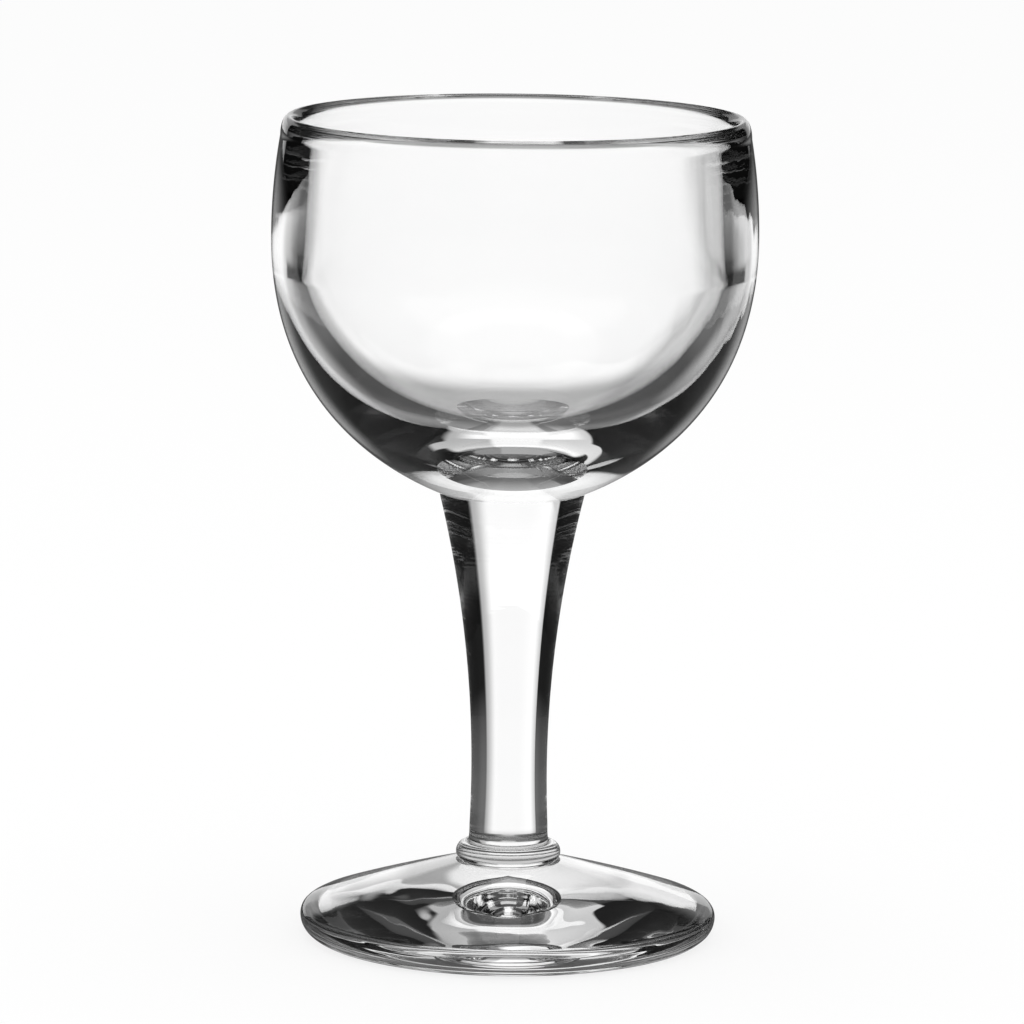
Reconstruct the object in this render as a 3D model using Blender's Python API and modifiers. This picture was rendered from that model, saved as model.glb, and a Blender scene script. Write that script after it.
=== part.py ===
import math

import bpy

# Thick pressed red wine glass: foot, collar, stem and bowl, each turned about +Z.
# The origin is the middle of the foot's resting face.

# Driving dimensions, in metres. Heights of a piece are measured from its own lower end.
FOOT_RADIUS = 0.03795
FOOT_HEIGHT = 0.01345
FOOT_SWELL = 0.00025
FOOT_EDGE_HEIGHT = 0.00535
FOOT_EDGE_UPPER_ROUND = 0.00185
FOOT_EDGE_LOWER_ROUND = 0.0034
FOOT_REST_WIDTH = 0.0012
FOOT_HOLLOW_DEPTH = 0.00395

COLLAR_RADIUS = 0.00955
COLLAR_HEIGHT = 0.0031
COLLAR_SEAT_INSET = 0.0009

STEM_LENGTH = 0.06443
STEM_HEAD_RADIUS = 0.01325
STEM_WAIST_RADIUS = 0.0069
STEM_WAIST_HEIGHT = 0.0130
STEM_TOE_FLARE = 0.0007
STEM_TOE_HEIGHT = 0.0032

BOWL_HEIGHT = 0.06812
BOWL_RADIUS = 0.04395
BOWL_BELLY_HEIGHT = 0.0463
BOWL_FLOOR_THICKNESS = 0.0097
BOWL_NECK_ANGLE = math.radians(23)
CUP_SHOULDER_HEIGHT = 0.04025
CUP_SHOULDER_LEAN = math.radians(6.5)
WALL_THICKNESS = 0.0059
RIM_RADIUS = 0.0424
RIM_THICKNESS = 0.0030
RIM_LIP_HEIGHT = 0.0035

# The pieces are welded hot; each keeps this much off its neighbour.
WELD_GAP = 0.0003

# Shapes of the curves: how far the handles reach, as shares of the curve's width or height.
BELLY_REACH = 0.505
NECK_REACH = 0.60
CUP_SIDE_REACH = 0.5
CUP_FLOOR_REACH = 0.6
TOE_REACH = 0.4

# The hollow is partly a round dome and partly a cone, so that its middle is drawn to a slight point.
HOLLOW_ROUND_SHARE = 0.7

# Edges in each stretch of an outline, and steps in a full turn.
LONG_CURVE_EDGES = 14
SLOPE_EDGES = 10
ROUND_EDGES = 7
SHORT_CURVE_EDGES = 4
TURN_STEPS = 48
MERGE_DISTANCE = 0.00001

GLASS_COLOUR = (0.97, 0.97, 0.97, 1.0)
GLASS_ROUGHNESS = 0.02
GLASS_IOR = 1.52

# The pieces stand on one another, with a gap at each joint.
FOOT_BASE = 0.0
COLLAR_BASE = FOOT_BASE + FOOT_HEIGHT + WELD_GAP
STEM_BASE = COLLAR_BASE + COLLAR_HEIGHT + WELD_GAP
BOWL_BASE = STEM_BASE + STEM_LENGTH + WELD_GAP


def clear_scene():
    for item in list(bpy.data.objects):
        bpy.data.objects.remove(item)


def shares(edges):
    # Even steps from just after 0 up to 1.
    return [step / edges for step in range(1, edges + 1)]


def curve_points(start, start_handle, end_handle, end, edges):
    # Points along a cubic curve, without its first point.
    corners = (start, start_handle, end_handle, end)
    points = []
    for t in shares(edges):
        weights = ((1 - t) ** 3, 3 * t * (1 - t) ** 2, 3 * t * t * (1 - t), t ** 3)
        radius = sum(weight * corner[0] for weight, corner in zip(weights, corners))
        height = sum(weight * corner[1] for weight, corner in zip(weights, corners))
        points.append((radius, height))
    return points


def arc_points(centre, radius, start_angle, end_angle, edges):
    # Points along a circle between two angles, without its first point.
    points = []
    for t in shares(edges):
        angle = start_angle + (end_angle - start_angle) * t
        points.append((centre[0] + radius * math.cos(angle), centre[1] + radius * math.sin(angle)))
    return points


def upright_points(start, end, edges):
    # Points that leave the start straight up or down and bend gently to the end's radius.
    points = []
    for t in shares(edges):
        points.append((start[0] + (end[0] - start[0]) * t * t, start[1] + (end[1] - start[1]) * t))
    return points


def foot_profile():
    # Crown seat, swelling slope, rounded edge, resting ring, then the hollow up to the axis.
    upper = FOOT_EDGE_UPPER_ROUND
    lower = FOOT_EDGE_LOWER_ROUND
    upper_centre = (FOOT_RADIUS - upper, FOOT_EDGE_HEIGHT - upper)
    edge_fall = FOOT_HEIGHT - FOOT_EDGE_HEIGHT + 4 * FOOT_SWELL
    normal_angle = math.atan2(upper_centre[0] - COLLAR_RADIUS, edge_fall)
    slope_width = upper_centre[0] + upper * math.cos(normal_angle) - COLLAR_RADIUS
    slope_fall = FOOT_HEIGHT - upper_centre[1] - upper * math.sin(normal_angle)
    profile = [(0.0, FOOT_HEIGHT), (COLLAR_RADIUS, FOOT_HEIGHT)]
    for t in shares(SLOPE_EDGES):
        swell = FOOT_SWELL * 4 * t * (1 - t)
        profile.append((COLLAR_RADIUS + slope_width * t, FOOT_HEIGHT - slope_fall * t + swell))
    profile += arc_points(upper_centre, upper, normal_angle, 0.0, ROUND_EDGES)
    profile.append((FOOT_RADIUS, lower))
    profile += arc_points((FOOT_RADIUS - lower, lower), lower, 0.0, -math.pi / 2, ROUND_EDGES)
    hollow_radius = FOOT_RADIUS - lower - FOOT_REST_WIDTH
    profile.append((hollow_radius, 0.0))
    for t in shares(SLOPE_EDGES):
        out = 1 - t
        rise = 1 - HOLLOW_ROUND_SHARE * out * out - (1 - HOLLOW_ROUND_SHARE) * out
        profile.append((hollow_radius * out, FOOT_HOLLOW_DEPTH * rise))
    return profile


def collar_profile():
    # A bead whose side is one arc, from level at the upper seat round to the inset lower seat.
    inset = COLLAR_SEAT_INSET
    bulge = COLLAR_HEIGHT + inset - math.sqrt(2 * COLLAR_HEIGHT * inset)
    centre = (COLLAR_RADIUS - bulge, COLLAR_HEIGHT - bulge)
    lower_angle = -math.asin(centre[1] / bulge)
    profile = [(0.0, COLLAR_HEIGHT), (centre[0], COLLAR_HEIGHT)]
    profile += arc_points(centre, bulge, math.pi / 2, lower_angle, LONG_CURVE_EDGES)
    return profile + [(0.0, 0.0)]


def stem_profile():
    # A long hollow curve from the head down past the waist, then a short flare at the toe.
    rise = STEM_LENGTH - STEM_WAIST_HEIGHT
    spread = STEM_HEAD_RADIUS - STEM_WAIST_RADIUS
    profile = [(0.0, STEM_LENGTH), (STEM_HEAD_RADIUS, STEM_LENGTH)]
    for t in shares(LONG_CURVE_EDGES):
        height = STEM_LENGTH + (STEM_TOE_HEIGHT - STEM_LENGTH) * t
        profile.append((STEM_WAIST_RADIUS + spread * ((height - STEM_WAIST_HEIGHT) / rise) ** 2, height))
    ankle_radius = profile[-1][0]
    toe = (ankle_radius + STEM_TOE_FLARE, 0.0)
    ankle_handle = (ankle_radius, STEM_TOE_HEIGHT * TOE_REACH)
    profile += curve_points(profile[-1], ankle_handle, (ankle_radius, 0.0), toe, SHORT_CURVE_EDGES)
    return profile + [(0.0, 0.0)]


def bowl_profile():
    # From the middle of the cup's floor up the inside, over the rim and down the outside to the seat.
    bead = RIM_THICKNESS / 2
    rim_height = BOWL_HEIGHT - RIM_LIP_HEIGHT
    floor = BOWL_FLOOR_THICKNESS
    belly = BOWL_BELLY_HEIGHT
    cup_radius = BOWL_RADIUS - WALL_THICKNESS
    mouth_radius = RIM_RADIUS - RIM_THICKNESS
    shoulder = CUP_SHOULDER_HEIGHT
    side_reach = (shoulder - floor) * CUP_SIDE_REACH
    side_inset = side_reach * math.sin(CUP_SHOULDER_LEAN)
    side_drop = side_reach * math.cos(CUP_SHOULDER_LEAN)
    cup_floor_handle = (cup_radius * CUP_FLOOR_REACH, floor)
    cup_side_handle = (cup_radius - side_inset, shoulder - side_drop)
    profile = [(0.0, floor)]
    profile += curve_points(
        (0.0, floor), cup_floor_handle, cup_side_handle, (cup_radius, shoulder), LONG_CURVE_EDGES
    )
    profile += upright_points((cup_radius, shoulder), (mouth_radius, rim_height), SLOPE_EDGES)
    for radius, height in arc_points((RIM_RADIUS - bead, 0.0), bead, math.pi, 0.0, SLOPE_EDGES):
        profile.append((radius, rim_height + height * RIM_LIP_HEIGHT / bead))
    outer_side = upright_points((BOWL_RADIUS, belly), (RIM_RADIUS, rim_height), SHORT_CURVE_EDGES)
    profile += outer_side[-2::-1]
    profile.append((BOWL_RADIUS, belly))
    neck = (BOWL_RADIUS - STEM_HEAD_RADIUS) * NECK_REACH
    belly_handle = (BOWL_RADIUS, belly * (1 - BELLY_REACH))
    neck_handle = (STEM_HEAD_RADIUS + neck, neck * math.tan(BOWL_NECK_ANGLE))
    profile += curve_points(
        (BOWL_RADIUS, belly), belly_handle, neck_handle, (STEM_HEAD_RADIUS, 0.0), LONG_CURVE_EDGES
    )
    return profile + [(0.0, 0.0)]


def glass_material(name):
    material = bpy.data.materials.new(name)
    material.use_nodes = True
    shader = material.node_tree.nodes["Principled BSDF"]
    shader.inputs["Base Color"].default_value = GLASS_COLOUR
    shader.inputs["Roughness"].default_value = GLASS_ROUGHNESS
    shader.inputs["Metallic"].default_value = 0.0
    shader.inputs["IOR"].default_value = GLASS_IOR
    shader.inputs["Transmission Weight"].default_value = 1.0
    return material


def turn(name, profile, base, collection):
    # The profile is (radius, height) pairs that run down the piece's outer side, from axis to axis.
    mesh = bpy.data.meshes.new(name)
    edges = [(i, i + 1) for i in range(len(profile) - 1)]
    mesh.from_pydata([(radius, 0.0, height) for radius, height in profile], edges, [])
    mesh.materials.append(glass_material(name + "_glass"))
    piece = bpy.data.objects.new(name, mesh)
    piece.location.z = base
    collection.objects.link(piece)
    screw = piece.modifiers.new("turn", "SCREW")
    screw.axis = "Z"
    screw.steps = TURN_STEPS
    screw.render_steps = TURN_STEPS
    screw.use_merge_vertices = True
    screw.merge_threshold = MERGE_DISTANCE
    screw.use_smooth_shade = True


def build():
    clear_scene()
    collection = bpy.data.collections.new("red_wine_glass")
    bpy.context.scene.collection.children.link(collection)
    turn("foot", foot_profile(), FOOT_BASE, collection)
    turn("collar", collar_profile(), COLLAR_BASE, collection)
    turn("stem", stem_profile(), STEM_BASE, collection)
    turn("bowl", bowl_profile(), BOWL_BASE, collection)


build()
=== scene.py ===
import math

import bpy
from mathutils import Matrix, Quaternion, Vector


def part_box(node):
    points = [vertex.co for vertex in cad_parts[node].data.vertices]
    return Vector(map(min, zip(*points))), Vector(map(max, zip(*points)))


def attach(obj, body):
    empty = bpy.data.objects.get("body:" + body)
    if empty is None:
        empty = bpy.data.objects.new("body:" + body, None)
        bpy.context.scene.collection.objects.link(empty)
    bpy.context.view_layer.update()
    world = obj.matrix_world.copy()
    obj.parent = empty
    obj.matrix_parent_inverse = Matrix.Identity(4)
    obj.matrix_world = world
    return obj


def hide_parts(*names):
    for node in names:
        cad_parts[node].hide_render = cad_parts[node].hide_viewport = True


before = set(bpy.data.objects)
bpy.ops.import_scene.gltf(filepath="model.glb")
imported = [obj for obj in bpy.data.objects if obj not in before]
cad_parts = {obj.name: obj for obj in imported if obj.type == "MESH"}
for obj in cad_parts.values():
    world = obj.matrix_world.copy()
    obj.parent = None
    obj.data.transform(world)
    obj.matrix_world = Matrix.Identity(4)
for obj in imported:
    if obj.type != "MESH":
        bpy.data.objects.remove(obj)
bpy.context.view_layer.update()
mm = 0.001
print("frame loaded:", ", ".join(sorted(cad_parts)))


class Wire:  # a socket that can be used in sums; a Wire with no socket stands for its whole tree
    def __init__(self, tree, socket=None):
        self.tree = tree
        self.socket = socket

    def add(self, kind, settings=None, links=None, out=0):
        node = self.tree.nodes.new(kind)
        for key, value in (settings or {}).items():
            setattr(node, key, value)
        for key, value in (links or {}).items():
            if isinstance(value, Wire):
                self.tree.links.new(value.socket, node.inputs[key])
            else:
                node.inputs[key].default_value = value
        return Wire(self.tree, node.outputs[out] if len(node.outputs) else None)

    def also(self, out):  # another output of the same node
        return Wire(self.tree, self.socket.node.outputs[out])

    def maths(self, operation, first, second=0.0):
        return self.add("ShaderNodeMath", {"operation": operation}, {0: first, 1: second})

    def __add__(self, other):
        return self.maths("ADD", self, other)

    def __sub__(self, other):
        return self.maths("SUBTRACT", self, other)

    def __rsub__(self, other):
        return self.maths("SUBTRACT", other, self)

    def __mul__(self, other):
        return self.maths("MULTIPLY", self, other)

    def __truediv__(self, other):
        return self.maths("DIVIDE", self, other)

    def __rtruediv__(self, other):
        return self.maths("DIVIDE", other, self)

    def __pow__(self, other):
        return self.maths("POWER", self, other)

    def __neg__(self):
        return self.maths("MULTIPLY", self, -1.0)

    __radd__ = __add__
    __rmul__ = __mul__


# An outline is a row of (radius, height) spots that starts and ends on the axis.
def along(start, startHandle, endHandle, end, count):  # cubic curve, without its first spot
    spots = []
    for step in range(1, count + 1):
        t = step / count
        weights = ((1 - t) ** 3, 3 * t * (1 - t) ** 2, 3 * t * t * (1 - t), t ** 3)
        corners = (start, startHandle, endHandle, end)
        spots.append(tuple(sum(w * c[axis] for w, c in zip(weights, corners)) for axis in (0, 1)))
    return spots


def around(centre, radius, startAngle, endAngle, count):  # arc, angles in degrees, both ends included
    spots = []
    for step in range(count + 1):
        angle = math.radians(startAngle + (endAngle - startAngle) * step / count)
        spots.append((centre[0] + radius * math.cos(angle), centre[1] + radius * math.sin(angle)))
    return spots


def spread(low, high, count):  # evenly spaced numbers, both ends included
    return [low + (high - low) * step / count for step in range(count + 1)]


bowlLow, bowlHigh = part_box("bowl")
stemLow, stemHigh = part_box("stem")
collarLow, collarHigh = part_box("collar")
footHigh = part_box("foot")[1]
bowlWeld = (bowlLow[2] + stemHigh[2]) / 2  # the pieces meet in the middle of each gap
stemWeld = (stemLow[2] + collarHigh[2]) / 2
collarWeld = (collarLow[2] + footHigh[2]) / 2

bowlShape = {
    "rimRadius": 42.4 * mm,
    "rimThickness": 3.0 * mm,
    "lipHeight": 3.5 * mm,  # how far down the rim's rounding reaches
    "wall": 5.9 * mm,
    "shoulder": 40.4 * mm,  # where the cup's straight side ends and its round floor begins
    "shoulderLean": 6.5,
    "mouthTaper": 2.0,
    "belly": 46.45 * mm,  # height of the widest place above the weld
    "floor": 9.85 * mm,
    "neckAngle": 23.0,
    "neckReach": 0.60,
    "bellyReach": 0.505,
    "cupFloorReach": 0.6,
    "cupBellyReach": 0.5,
    "cupRows": 100,
    "sideRows": 50,
    "lipRows": 28,
    "bellyRows": 90,
    "steps": 256,
}


def bowlOutline():  # up the inside of the cup, over the rim and down the outside
    s = bowlShape
    outer = bowlHigh[0]
    head = stemHigh[0]
    belly = bowlWeld + s["belly"]
    floor = bowlWeld + s["floor"]
    bead = s["rimThickness"] / 2
    lip = s["lipHeight"]
    rim = bowlHigh[2] - lip
    inner = outer - s["wall"]
    mouth = s["rimRadius"] - s["rimThickness"]
    shoulder = bowlWeld + s["shoulder"]
    lean = math.radians(s["shoulderLean"])
    reach = (shoulder - floor) * s["cupBellyReach"]
    spots = [(0.0, floor)]
    spots += along(
        (0.0, floor), (inner * s["cupFloorReach"], floor),
        (inner - reach * math.sin(lean), shoulder - reach * math.cos(lean)),
        (inner, shoulder), s["cupRows"])
    for t in spread(0, 1, s["sideRows"])[1:-1]:
        spots.append((inner + (mouth - inner) * t ** s["mouthTaper"], shoulder + (rim - shoulder) * t))
    for radius, height in around((s["rimRadius"] - bead, 0.0), bead, 180, 0, s["lipRows"]):
        spots.append((radius, rim + height * lip / bead))  # a tall half round
    for t in spread(1, 0, s["sideRows"])[1:]:
        spots.append((outer + (s["rimRadius"] - outer) * t * t, belly + (rim - belly) * t))
    neck = (outer - head) * s["neckReach"]
    neckRise = neck * math.tan(math.radians(s["neckAngle"]))
    spots += along(
        (outer, belly), (outer, belly - (belly - bowlWeld) * s["bellyReach"]),
        (head + neck, bowlWeld + neckRise), (head, bowlWeld), s["bellyRows"])
    return spots + [(0.0, bowlWeld)]


stemShape = {
    "waistRadius": 6.9 * mm,
    "waist": 13.15 * mm,  # height of the waist above the lower weld
    "toeFlare": 0.75 * mm,
    "toeHeight": 3.2 * mm,
    "toeReach": 0.4,
    "ripplesFrom": 58 * mm,  # above this height the rows are close, to carry the ripples
    "headRows": 150,
    "shankRows": 40,
    "toeRows": 12,
    "steps": 256,
}


def stemOutline():
    s = stemShape
    waist = stemWeld + s["waist"]
    ankle = stemWeld + s["toeHeight"]

    def side(height):
        rise = (height - waist) / (bowlWeld - waist)
        return s["waistRadius"] + (stemHigh[0] - s["waistRadius"]) * rise ** 2

    levels = spread(bowlWeld, s["ripplesFrom"], s["headRows"])
    levels += spread(s["ripplesFrom"], ankle, s["shankRows"])[1:]
    spots = [(side(height), height) for height in levels]
    spots += along(
        spots[-1], (side(ankle), stemWeld + s["toeHeight"] * s["toeReach"]),
        (side(ankle), stemWeld), (side(ankle) + s["toeFlare"], stemWeld), s["toeRows"])
    return [(0.0, bowlWeld)] + spots + [(0.0, stemWeld)]


collarShape = {
    "seatInset": 0.9 * mm,  # how far the lower seat stands in from the bead's side
    "rows": 40,
    "steps": 256,
}


def collarOutline():
    inset = collarShape["seatInset"]
    tall = stemWeld - collarWeld
    bulge = tall + inset - math.sqrt(2 * tall * inset)
    centre = (collarHigh[0] - bulge, stemWeld - bulge)
    lowest = -math.degrees(math.asin((tall - bulge) / bulge))
    return [(0.0, stemWeld)] + around(centre, bulge, 90, lowest, collarShape["rows"]) + [(0.0, collarWeld)]


footShape = {
    "edgeHeight": 5.35 * mm,
    "upperRound": 1.85 * mm,
    "lowerRound": 3.4 * mm,
    "swell": 0.25 * mm,
    "restWidth": 1.2 * mm,
    "hollowDepth": 3.95 * mm,
    "hollowRound": 0.7,  # share of the hollow that is a round dome; the rest is a cone
    "slopeRows": 40,
    "upperRows": 14,
    "lowerRows": 18,
    "hollowRows": 90,
    "steps": 256,
}


def footOutline():
    s = footShape
    radius = footHigh[0]
    upper, lower = s["upperRound"], s["lowerRound"]
    seat = collarHigh[0]
    corner = (radius - upper, s["edgeHeight"] - upper)
    lean = math.atan2(corner[0] - seat, collarWeld - s["edgeHeight"] + 4 * s["swell"])
    edge = (corner[0] + upper * math.cos(lean), corner[1] + upper * math.sin(lean))
    spots = []
    for t in spread(0, 1, s["slopeRows"])[:-1]:
        swell = s["swell"] * 4 * t * (1 - t)
        spots.append((seat + (edge[0] - seat) * t, collarWeld + (edge[1] - collarWeld) * t + swell))
    spots += around(corner, upper, math.degrees(lean), 0, s["upperRows"])
    spots += around((radius - lower, lower), lower, 0, -90, s["lowerRows"])
    hollow = radius - lower - s["restWidth"]
    for t in spread(0, 1, s["hollowRows"]):
        out = 1 - t
        rise = 1 - s["hollowRound"] * out * out - (1 - s["hollowRound"]) * out
        spots.append((hollow * out, s["hollowDepth"] * rise))
    return [(0.0, collarWeld)] + spots


def ramp(net, value, limits, tones=(0.0, 1.0)):  # soft step from the first tone to the second
    return net.add("ShaderNodeMapRange", {"interpolation_type": "SMOOTHSTEP"}, {
        "Value": value, "From Min": limits[0], "From Max": limits[1],
        "To Min": tones[0], "To Max": tones[1]})


turning = {
    "waveDetail": 1.0,
    "patchScale": 90.0,  # the ripples come in patches
    "patchDetail": 2.0,
    "patchLimits": (0.5, 0.62),
    "bendScale": 60.0,  # and don't run level
    "bend": 9.0,
    "mergeWithin": 0.001 * mm,
    "weldLimit": 0.99,
}


def turningTree():  # turns an outline about the axis and makes its surface uneven
    t = turning
    tree = bpy.data.node_groups.new("turnedGlass", "GeometryNodeTree")
    sockets = {
        "Outline": "Geometry", "Steps": "Int", "Glass": "Material", "Weld": "Material",
        "Wave Depth": "Float", "Wave Scale": "Float", "Seam Height": "Float", "Seam Width": "Float",
        "Seam Angle": "Float", "Ripple Depth": "Float", "Ripple Length": "Float", "Seed": "Float",
    }
    for name, kind in sockets.items():
        tree.interface.new_socket(name, in_out="INPUT", socket_type="NodeSocket" + kind)
    tree.interface.new_socket("Piece", in_out="OUTPUT", socket_type="NodeSocketGeometry")
    net = Wire(tree)
    given = net.add("NodeGroupInput")
    take = {name: given.also(name) for name in sockets}

    def named(name, kind):
        return net.add("GeometryNodeInputNamedAttribute", {"data_type": kind}, {"Name": name})

    def vector(operation, links, out="Vector"):
        return net.add("ShaderNodeVectorMath", {"operation": operation}, links, out)

    count = net.add("GeometryNodeAttributeDomainSize", {"component": "MESH"}, {
        "Geometry": take["Outline"]}, "Point Count")
    ring = take["Steps"] + 1.0
    grid = net.add("GeometryNodeMeshGrid", None, {"Vertices X": count, "Vertices Y": ring}, "Mesh")
    index = net.add("GeometryNodeInputIndex")
    row = net.maths("FLOOR", index / ring)
    angle = (index - row * ring) / take["Steps"] * math.tau

    def fromOutline(value, kind):  # reads the outline's spot that this row comes from
        return net.add("GeometryNodeSampleIndex", {"data_type": kind}, {
            "Geometry": take["Outline"], "Value": value, "Index": row})

    def turned(value):  # the same, turned into place
        flat = fromOutline(value, "FLOAT_VECTOR")
        return net.add("ShaderNodeVectorRotate", {"rotation_type": "Z_AXIS"}, {
            "Vector": flat, "Angle": angle})

    place = turned(net.add("GeometryNodeInputPosition"))
    drift = turned(named("drift", "FLOAT_VECTOR"))
    weld = fromOutline(named("weld", "FLOAT"), "FLOAT")
    height = net.add("ShaderNodeSeparateXYZ", None, {"Vector": place}, "Z")
    level = net.add("ShaderNodeCombineXYZ", None, {"X": height.also("X"), "Y": height.also("Y")})
    radius = vector("LENGTH", {0: level}, "Value")
    shifted = vector("ADD", {0: place, 1: net.add("ShaderNodeCombineXYZ", None, {"Z": take["Seed"]})})

    def noise(scale, detail):
        return net.add("ShaderNodeTexNoise", None, {"Vector": shifted, "Scale": scale, "Detail": detail})

    wave = (noise(take["Wave Scale"], t["waveDetail"]) - 0.5) * take["Wave Depth"] * 2.0
    across = radius * net.maths("SINE", angle - take["Seam Angle"]) / take["Seam Width"]
    seam = take["Seam Height"] * net.maths("EXPONENT", -(across * across))
    patch = ramp(net, noise(t["patchScale"], t["patchDetail"]), t["patchLimits"])
    bend = noise(t["bendScale"], t["waveDetail"]) * t["bend"]
    phase = height / take["Ripple Length"] * math.tau + bend
    ripple = take["Ripple Depth"] * net.maths("SINE", phase) * patch
    offset = vector("SCALE", {0: drift, "Scale": wave + seam + ripple})
    piece = net.add("GeometryNodeSetPosition", None, {"Geometry": grid, "Position": place, "Offset": offset})
    piece = net.add("GeometryNodeStoreNamedAttribute", {"data_type": "FLOAT", "domain": "POINT"}, {
        "Geometry": piece, "Name": "weld", "Value": weld})
    piece = net.add("GeometryNodeMergeByDistance", None, {"Geometry": piece, "Distance": t["mergeWithin"]})
    inside = net.maths("GREATER_THAN", named("weld", "FLOAT"), t["weldLimit"])
    piece = net.add("GeometryNodeSetShadeSmooth", {"domain": "FACE"}, {
        "Geometry": piece, "Shade Smooth": True})
    piece = net.add("GeometryNodeSetShadeSmooth", {"domain": "EDGE"}, {
        "Geometry": piece, "Selection": inside, "Shade Smooth": False})
    piece = net.add("GeometryNodeRealizeInstances", None, {"Geometry": piece})
    piece = net.add("GeometryNodeSetMaterial", None, {"Geometry": piece, "Material": take["Glass"]})
    piece = net.add("GeometryNodeSetMaterial", None, {
        "Geometry": piece, "Selection": inside, "Material": take["Weld"]})
    piece = net.add("GeometryNodeRemoveAttribute", None, {"Geometry": piece, "Name": "weld"})
    net.add("NodeGroupOutput", None, {"Piece": piece})
    return tree


fadeLength = {"weld": 1.5 * mm, "rim": 8 * mm, "rest": 0.5 * mm}  # the unevenness dies away over these


def outlineMesh(name, spots, weldFirst, weldLast):  # drift is which way and how far a spot may stray
    last = len(spots) - 1
    mesh = bpy.data.meshes.new(name)
    mesh.from_pydata([(r, 0.0, z) for r, z in spots], [(i, i + 1) for i in range(last)], [])
    mesh.attributes.new("drift", "FLOAT_VECTOR", "POINT")
    mesh.attributes.new("weld", "FLOAT", "POINT")
    drift, weld = mesh.attributes["drift"], mesh.attributes["weld"]
    for i, (radius, height) in enumerate(spots):
        before, after = spots[max(i - 1, 0)], spots[min(i + 1, last)]
        outward = Vector((before[1] - after[1], 0.0, after[0] - before[0])).normalized()
        weldAway = min(abs(height - level) for level in (bowlWeld, stemWeld, collarWeld))
        fade = min(1.0, weldAway / fadeLength["weld"])
        fade *= min(1.0, (bowlHigh[2] - height) / fadeLength["rim"]) * min(1.0, height / fadeLength["rest"])
        drift.data[i].vector = outward * fade
        onWeld = (weldFirst and i < 2) or (weldLast and i > last - 2)
        weld.data[i].value = 1.0 if onWeld else 0.0
    return mesh


def clearGlass(name, look):
    material = bpy.data.materials.new(name)
    material.use_nodes = True
    links = material.node_tree.links
    net = Wire(material.node_tree)
    shader = material.node_tree.nodes["Principled BSDF"]
    shader.inputs["IOR"].default_value = look["ior"]
    shader.inputs["Transmission Weight"].default_value = 1.0
    where = net.add("ShaderNodeTexCoord", None, None, "Object")
    cloud = net.add("ShaderNodeTexNoise", None, {
        "Vector": where, "Scale": look["cloudScale"], "Detail": look["cloudDetail"]})
    tint = net.add("ShaderNodeMix", {"data_type": "RGBA"}, {
        "Factor": cloud, "A": (*look["paleTint"], 1.0), "B": (*look["deepTint"], 1.0)}, "Result")
    rough = look["polish"] + look["haze"] * cloud ** look["hazePower"]
    links.new(tint.socket, shader.inputs["Base Color"])
    links.new(rough.socket, shader.inputs["Roughness"])
    if "streak" in look:  # upright press marks, on the cup's side only
        height = net.add("ShaderNodeSeparateXYZ", None, {"Vector": where}, "Z")
        x, y = height.also("X"), height.also("Y")
        out = net.maths("SQRT", x * x + y * y)
        inside = ramp(net, out, look["streakInside"], (1.0, 0.0))
        inside = inside * ramp(net, height, look["streakFrom"])
        inside = inside * ramp(net, height, look["streakTo"], (1.0, 0.0))
        inside = inside * ramp(net, x / out, look["streakAcross"], look["streakShare"])
        spin = net.add("ShaderNodeCombineXYZ", None, {
            0: x / out * look["streakCount"], 1: y / out * look["streakCount"],
            2: height * look["streakSlope"]})
        lines = net.add("ShaderNodeTexNoise", None, {
            "Vector": spin, "Scale": 1.0, "Detail": look["streakDetail"]})
        bump = net.add("ShaderNodeBump", None, {
            "Height": lines * inside, "Strength": 1.0, "Distance": look["streak"]})
        links.new(bump.socket, shader.inputs["Normal"])
    return material


def weldGlass():  # the inside of a weld, where glass runs on into glass
    material = bpy.data.materials.new("weldInside")
    material.use_nodes = True
    shader = material.node_tree.nodes["Principled BSDF"]
    shader.inputs["Alpha"].default_value = 0.0
    return material


turnedGlass = turningTree()
weldInside = weldGlass()


def turnPiece(name, node, outline, steps, look, surface):
    holder = bpy.data.objects.new(name + "Outline", outline)
    bpy.context.scene.collection.objects.link(holder)
    modifier = holder.modifiers.new("turn", "NODES")
    modifier.node_group = turnedGlass
    values = {"Steps": steps, "Glass": clearGlass(name + "Glass", look), "Weld": weldInside, **surface}
    for item in turnedGlass.interface.items_tree:
        if item.in_out == "INPUT" and item.name in values:
            modifier[item.identifier] = values[item.name]
    evaluated = holder.evaluated_get(bpy.context.evaluated_depsgraph_get())
    mesh = bpy.data.meshes.new_from_object(evaluated)
    mesh.name = name
    mesh.materials.pop(index=0)  # the grid's own empty slot
    bpy.data.objects.remove(holder)
    piece = bpy.data.objects.new(name, mesh)
    bpy.context.scene.collection.objects.link(piece)
    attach(piece, "root")
    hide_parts(node)
    print(name, "turned:", len(mesh.polygons), "faces")


polished = {
    "ior": 1.52,
    "cloudScale": 40.0,
    "cloudDetail": 3.0,
    "paleTint": (1.0, 1.0, 1.0),
    "deepTint": (0.985, 0.985, 0.985),
    "polish": 0.0,
    "haze": 0.02,
    "hazePower": 3.0,
}
pressed = {
    **polished,
    "streak": 0.035 * mm,  # depth of the press marks
    "streakInside": (39.0 * mm, 39.2 * mm),  # they fade out between these distances from the axis
    "streakFrom": (106 * mm, 118 * mm),  # and fade in and out between these heights
    "streakTo": (137 * mm, 143 * mm),
    "streakAcross": (-0.9, 0.9),  # they grow stronger from one side to the other
    "streakShare": (0.25, 1.0),
    "streakCount": 9.0,
    "streakSlope": 12.0,
    "streakDetail": 1.0,
}
still = {
    "Wave Depth": 0.0, "Wave Scale": 60.0, "Seam Height": 0.0, "Seam Width": 0.4 * mm, "Seam Angle": 0.0,
    "Ripple Depth": 0.0, "Ripple Length": 0.9 * mm, "Seed": 0.0,
}
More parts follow.
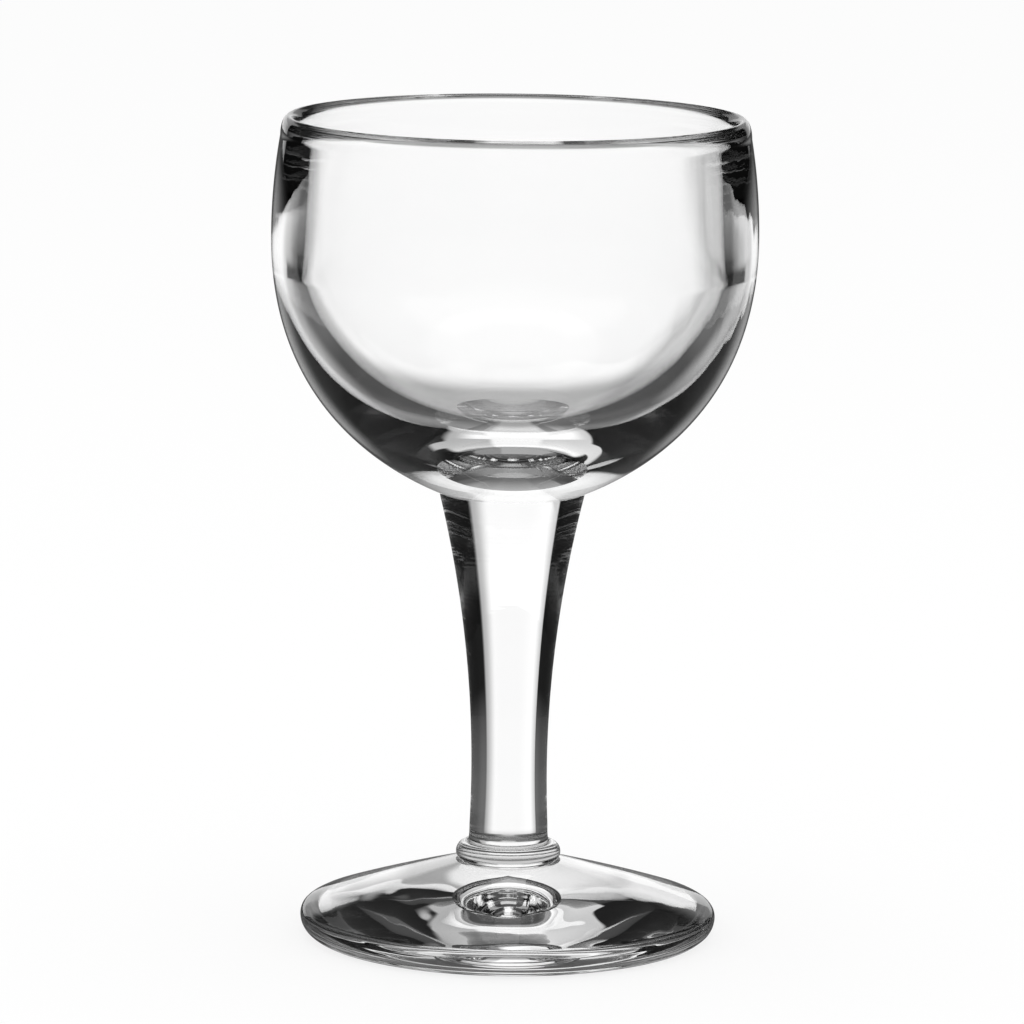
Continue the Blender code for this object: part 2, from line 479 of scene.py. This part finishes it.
bowlSurface = {**still, "Wave Depth": 0.02 * mm, "Wave Scale": 55.0, "Seed": 0.2}
stemSurface = {
    **still, "Wave Depth": 0.01 * mm, "Wave Scale": 80.0, "Seam Height": 0.05 * mm,
    "Seam Angle": math.radians(-124), "Ripple Depth": 0.0025 * mm, "Seed": 0.4,
}
collarSurface = {**still, "Wave Depth": 0.015 * mm, "Wave Scale": 300.0, "Seed": 0.1}
footSurface = {**still, "Wave Depth": 0.1 * mm, "Wave Scale": 70.0, "Seed": 0.31}

bowlLine = outlineMesh("glassBowlOutline", bowlOutline(), False, True)
stemLine = outlineMesh("glassStemOutline", stemOutline(), True, True)
collarLine = outlineMesh("glassCollarOutline", collarOutline(), True, True)
footLine = outlineMesh("glassFootOutline", footOutline(), True, False)
turnPiece("glassBowl", "bowl", bowlLine, bowlShape["steps"], pressed, bowlSurface)
turnPiece("glassStem", "stem", stemLine, stemShape["steps"], polished, stemSurface)
turnPiece("glassCollar", "collar", collarLine, collarShape["steps"], polished, collarSurface)
turnPiece("glassFoot", "foot", footLine, footShape["steps"], polished, footSurface)

cameraView = {
    "lens": 225.0,
    "sensor": 36.0,
    "distance": 1.1611,
    "aimHeight": 77.98 * mm,
    "elevation": 9.5,
    "roll": 0.65,
}
camera = bpy.data.objects.new("camera", bpy.data.cameras.new("camera"))
bpy.context.scene.collection.objects.link(camera)
bpy.context.scene.camera = camera
camera.data.lens = cameraView["lens"]
camera.data.sensor_width = cameraView["sensor"]
tilt = math.radians(cameraView["elevation"])
back = Vector((0.0, -math.cos(tilt), math.sin(tilt)))
camera.location = Vector((0.0, 0.0, cameraView["aimHeight"])) + back * cameraView["distance"]
camera.rotation_mode = "QUATERNION"
roll = Quaternion((0, 0, 1), math.radians(cameraView["roll"]))
camera.rotation_quaternion = (-back).to_track_quat("-Z", "Y") @ roll
print("camera placed")

# The set: a dome and a table top that only the glass shows, a pale floor, a white room and a soft lamp.
rig = bpy.data.objects.new("setTurntable", None)
bpy.context.scene.collection.objects.link(rig)
follow = rig.constraints.new("LOCKED_TRACK")  # keeps the white straight behind the glass
follow.target = camera
follow.track_axis = "TRACK_NEGATIVE_Y"
follow.lock_axis = "LOCK_Z"


def glowing(name):  # a new material, its tree, and a spot's turn in degrees, distance out and height
    material = bpy.data.materials.new(name)
    material.use_nodes = True
    material.node_tree.nodes.clear()
    net = Wire(material.node_tree)
    where = net.add("ShaderNodeTexCoord", None, None, "Object")
    height = net.add("ShaderNodeSeparateXYZ", None, {"Vector": where}, "Z")
    x, y = height.also("X"), height.also("Y")
    turn = net.maths("ARCTAN2", x, y) * math.degrees(1.0)
    out = net.maths("SQRT", x * x + y * y)
    return material, net, turn, out, height


def finishGlow(net, tone):
    glow = net.add("ShaderNodeEmission", None, {"Color": (1, 1, 1, 1), "Strength": tone})
    net.add("ShaderNodeOutputMaterial", None, {"Surface": glow})


def brightest(net, tones):
    tone = tones[0]
    for other in tones[1:]:
        tone = net.maths("MAXIMUM", other, tone)
    return tone


def between(low, high, share):  # low at a share of 0, high at 1
    return low + (high - low) * share


# Turns are degrees from straight behind, rises degrees above the table.
# Where a pair of pairs stands, the first is where the tone changes and the second the tones there.
backdrop = {
    "white": ((8.0, 22.0), (1.14, 1.22)),  # by turn
    "flankRise": (8.0, 40.0),
    "stepRise": (8.5, 10.5),  # where the white narrows
    "spreadRise": (13.0, 17.5),  # where the flanks widen
    "spreadFall": ((23.0, 29.0), (0.0, 0.7)),  # and narrow again
    "left": {
        "tone": (0.70, 1.0),  # the flank, from low to high up
        "wide": (26.5, 11.0),  # how far the white reaches, below the step and above it
        "soft": (4.0, 1.5),
        "edge": 31.0,  # where the flank ends against black
        "spread": 6.0,
        "blur": (0.8, 0.8),
    },
    "right": {
        "tone": (0.50, 0.65), "wide": (18.5, 8.5), "soft": (5.5, 1.5),
        "edge": 26.5, "spread": 7.0, "blur": (2.3, 1.5),
    },
}


def backWhite(net, turn, rise, share):  # white in the middle, dimmer flanks, black past the edges
    k = backdrop
    away = net.maths("ABSOLUTE", turn)
    right = net.maths("GREATER_THAN", turn, 0.0)
    above = ramp(net, rise, k["stepRise"])
    widening = ramp(net, rise, k["spreadRise"]) - ramp(net, rise, *k["spreadFall"])

    def sideValues(side):
        return (
            ramp(net, rise, k["flankRise"], side["tone"]),
            between(*side["wide"], above),
            between(*side["soft"], above),
            side["edge"] + widening * side["spread"],
            between(*side["blur"], above),
        )

    pairs = zip(sideValues(k["left"]), sideValues(k["right"]))
    flank, wide, soft, edge, blur = [between(left, other, right) for left, other in pairs]
    middle = ramp(net, away, (wide - soft, wide + soft), (1.0, 0.0))
    lit = ramp(net, away, (edge - blur, edge + blur), (1.0, 0.0))
    white = ramp(net, away, *k["white"]) * share
    return between(flank, white, middle) * lit


domeLook = {
    "reach": 3.0,
    "low": ((0.5, 7.0), (1.0, 0.91)),  # full white only close to the table
    "high": ((30.0, 42.0), (1.0, 1.2)),  # brighter high up
    "overhead": ((42.0, 52.0), (1.0, 0.3)),  # and dim overhead
    "glossCut": ((17.0, 23.0), (0.0, 0.94)),  # gloss shows only the low part
    "front": ((84.0, 104.0), (0.0, 0.7)),  # a soft light above the camera, by turn
    "frontRise": (27.0, 35.0),
    "frontFall": ((62.0, 72.0), (1.0, 0.0)),
    "sideTone": 0.004,
    "turns": 96,
    "rises": 24,
    "top": 89.9,
}


def domeMaterial():
    k = domeLook
    material, net, turn, out, height = glowing("studioDome")
    rise = net.maths("ARCTAN2", height, out) * math.degrees(1.0)
    behind = backWhite(net, turn, rise, ramp(net, rise, *k["low"]))
    behind = behind * ramp(net, rise, *k["high"]) * ramp(net, rise, *k["overhead"])
    mirrored = net.add("ShaderNodeLightPath", None, None, "Is Reflection Ray")
    behind = behind * (1 - mirrored * ramp(net, rise, *k["glossCut"]))
    front = ramp(net, net.maths("ABSOLUTE", turn), *k["front"])
    front = front * ramp(net, rise, k["frontRise"]) * ramp(net, rise, *k["frontFall"])
    finishGlow(net, brightest(net, (behind, front, k["sideTone"])))
    return material


tableLook = {
    "drop": 0.01 * mm,
    "overlap": 1 * mm,  # how far the table runs on past the dome
    "middle": 0.001 * mm,  # radius of its innermost ring
    # by the height of what shows it
    "share": ((75 * mm, 92 * mm), (0.91, 1.0)),  # full white to the bowl alone
    "lip": (108 * mm, 120 * mm),
    "mouth": (146 * mm, 153 * mm),
    "skirtHeight": (80 * mm, 95 * mm),
    # by how level it is seen, from 0 for straight down
    "down": ((0.02, 0.07), (0.5, 0.0)),
    "steep": ((0.12, 0.38), (0.2, 0.39)),
    "shallow": ((0.415, 0.535), (0.0, 0.61)),
    "lipShift": 0.04,
    "mouthShift": 0.06,
    "mouthDim": 0.09,
    "lipDim": ((0.5, 0.6), (0.08, 0.0)),
    # by turn
    "glossCut": ((4.0, 8.0), (0.0, 0.9)),  # gloss draws a dark outline
    "skirt": 0.7,  # table beside the white, as seen from the bowl
    "skirtTurn": (27.0, 46.0),
    "skirtStart": (12.0, 24.0),
    "sideTurn": ((30.0, 45.0), (1.0, 0.65)),
    "front": ((115.0, 150.0), (0.0, 0.3)),
    # by distance from the axis; round the foot the table holds a painted shade of the glass, and under the
    # foot a painted shadow
    "paintedShadeNearFoot": ((40 * mm, 75 * mm), (0.6, 1.0)),
    "skirtFar": ((400 * mm, 1000 * mm), (0.16, 0.064)),
    "skirtNear": ((100 * mm, 210 * mm), (0.25, 1.0)),
    "skirtEnd": ((900 * mm, 2700 * mm), (1.0, 0.1)),
    "side": ((60 * mm, 500 * mm), (0.15, 0.01)),
    "frontFar": ((80 * mm, 150 * mm), (1.0, 0.5)),
    "footShadowEdge": (36 * mm, 42 * mm),
    "paintedShadowUnderFoot": (0.08, 0.0),
}


def tableMaterial():
    k = tableLook
    material, net, turn, out, _ = glowing("tableTop")
    away = net.maths("ABSOLUTE", turn)
    facing = net.add("ShaderNodeLayerWeight", None, {"Blend": 0.5}, "Facing")
    dip = 1 - facing  # sine of the angle at which the table is seen
    origin = out * dip / net.maths("SQRT", 1 - dip * dip)  # height of what shows it
    mouth = ramp(net, origin, k["mouth"])
    lip = ramp(net, origin, k["lip"]) - mouth
    steep = ramp(net, facing, *k["steep"])
    steep = steep + ramp(net, facing - lip * k["lipShift"] + mouth * k["mouthShift"], *k["shallow"])
    steep = steep * (1 - mouth * k["mouthDim"]) * (1 - lip * ramp(net, facing, *k["lipDim"]))
    # painted shade: the white behind dims towards the foot, as if the glass shaded the table
    behind = backWhite(net, turn, 0.0, ramp(net, origin, *k["share"])) * steep * ramp(net, out, *k["paintedShadeNearFoot"])
    mirrored = net.add("ShaderNodeLightPath", None, None, "Is Reflection Ray")
    behind = behind * (1 - mirrored * ramp(net, away, *k["glossCut"]))
    skirt = ramp(net, away, k["skirtTurn"], (k["skirt"], ramp(net, out, *k["skirtFar"])))
    skirt = skirt * ramp(net, out, *k["skirtNear"]) * ramp(net, out, *k["skirtEnd"])
    skirt = skirt * ramp(net, origin, k["skirtHeight"]) * ramp(net, away, k["skirtStart"])
    side = ramp(net, out, *k["side"]) * ramp(net, away, *k["sideTurn"])
    front = ramp(net, away, *k["front"]) * ramp(net, out, *k["frontFar"])
    tone = brightest(net, (behind, skirt, side, front))
    # painted shadow: the table goes dark under the foot, inside the foot's edge
    tone = tone * ramp(net, out, k["footShadowEdge"]) + ramp(net, out, k["footShadowEdge"], k["paintedShadowUnderFoot"])
    finishGlow(net, brightest(net, (tone, ramp(net, facing, *k["down"]))))
    return material


def sheet(name, rows, material):  # rows of points, joined by quads; only the glass shows it
    wide = len(rows[0])
    faces = []
    for i in range(len(rows) - 1):
        for j in range(wide - 1):
            faces.append((i * wide + j, i * wide + j + 1, (i + 1) * wide + j + 1, (i + 1) * wide + j))
    mesh = bpy.data.meshes.new(name)
    mesh.from_pydata([p for row in rows for p in row], [], faces)
    mesh.materials.append(material)
    card = bpy.data.objects.new(name, mesh)
    bpy.context.scene.collection.objects.link(card)
    card.parent = rig
    card.visible_camera = False
    card.visible_diffuse = False
    card.visible_shadow = False


def domeSpot(turn, rise):
    a, e = math.radians(turn), math.radians(rise)
    far = domeLook["reach"]
    return (far * math.cos(e) * math.sin(a), far * math.cos(e) * math.cos(a), far * math.sin(e))


def tableSpot(turn, far):
    a = math.radians(turn)
    return (far * math.sin(a), far * math.cos(a), -tableLook["drop"])


turns = spread(-180.0, 180.0, domeLook["turns"])
rises = spread(0.0, domeLook["top"], domeLook["rises"])
sheet("studioDome", [[domeSpot(turn, rise) for turn in turns] for rise in rises], domeMaterial())
tableRings = (tableLook["middle"], domeLook["reach"] + tableLook["overlap"])
sheet("tableTop", [[tableSpot(turn, far) for turn in turns] for far in tableRings], tableMaterial())
print("dome and table made")

floorLook = {
    "colour": (0.98, 0.98, 0.98, 1.0),
    "ownWhite": 0.82,  # share of the floor's white that is its own, the rest is lit
    "reach": 6.0,
    "drop": 0.04 * mm,
}


def floorMaterial():
    material = bpy.data.materials.new("paleFloor")
    material.use_nodes = True
    material.node_tree.nodes.clear()
    net = Wire(material.node_tree)
    seen = net.add("ShaderNodeLightPath", None, None, "Is Camera Ray")
    lit = net.add("ShaderNodeBsdfDiffuse", None, {"Color": floorLook["colour"]})
    own = net.add("ShaderNodeEmission", None, {"Color": (1, 1, 1, 1), "Strength": 1.0})
    shown = net.add("ShaderNodeMixShader", None, {0: seen * floorLook["ownWhite"], 1: lit, 2: own})
    net.add("ShaderNodeOutputMaterial", None, {"Surface": shown})
    return material


reach = floorLook["reach"]
floorCorners = [(-reach, -reach, 0), (reach, -reach, 0), (reach, reach, 0), (-reach, reach, 0)]
floorMesh = bpy.data.meshes.new("floor")
floorMesh.from_pydata(floorCorners, [], [(0, 1, 2, 3)])
floorMesh.materials.append(floorMaterial())
floor = bpy.data.objects.new("floor", floorMesh)
floor.location.z = -floorLook["drop"]
bpy.context.scene.collection.objects.link(floor)

roomLight = {
    "fill": 0.85,
    "lampPower": 3.2,
    "lampSize": 0.9,
    "lampHeight": 1.2,
    "bounces": 32,
    "glossyBounces": 24,
}
world = bpy.data.worlds.new("room")
bpy.context.scene.world = world
world.use_nodes = True
roomNet = Wire(world.node_tree)
seenDirect = roomNet.add("ShaderNodeLightPath", None, None, "Is Camera Ray")
strength = roomNet.maths("MAXIMUM", seenDirect, roomLight["fill"])  # white to the camera
room = world.node_tree.nodes["Background"]
world.node_tree.links.new(strength.socket, room.inputs["Strength"])
room.inputs["Color"].default_value = (1, 1, 1, 1)

lamp = bpy.data.objects.new("softLamp", bpy.data.lights.new("softLamp", "AREA"))
lamp.data.shape = "DISK"
lamp.data.size = roomLight["lampSize"]
lamp.data.energy = roomLight["lampPower"]
lamp.location = (0.0, 0.0, roomLight["lampHeight"])
lamp.visible_glossy = False
lamp.visible_transmission = False
lamp.visible_camera = False
bpy.context.scene.collection.objects.link(lamp)

scene = bpy.context.scene
scene.view_settings.view_transform = "Standard"
scene.cycles.max_bounces = roomLight["bounces"]
scene.cycles.transmission_bounces = roomLight["bounces"]
scene.cycles.transparent_max_bounces = roomLight["bounces"]
scene.cycles.glossy_bounces = roomLight["glossyBounces"]
print("set ready")
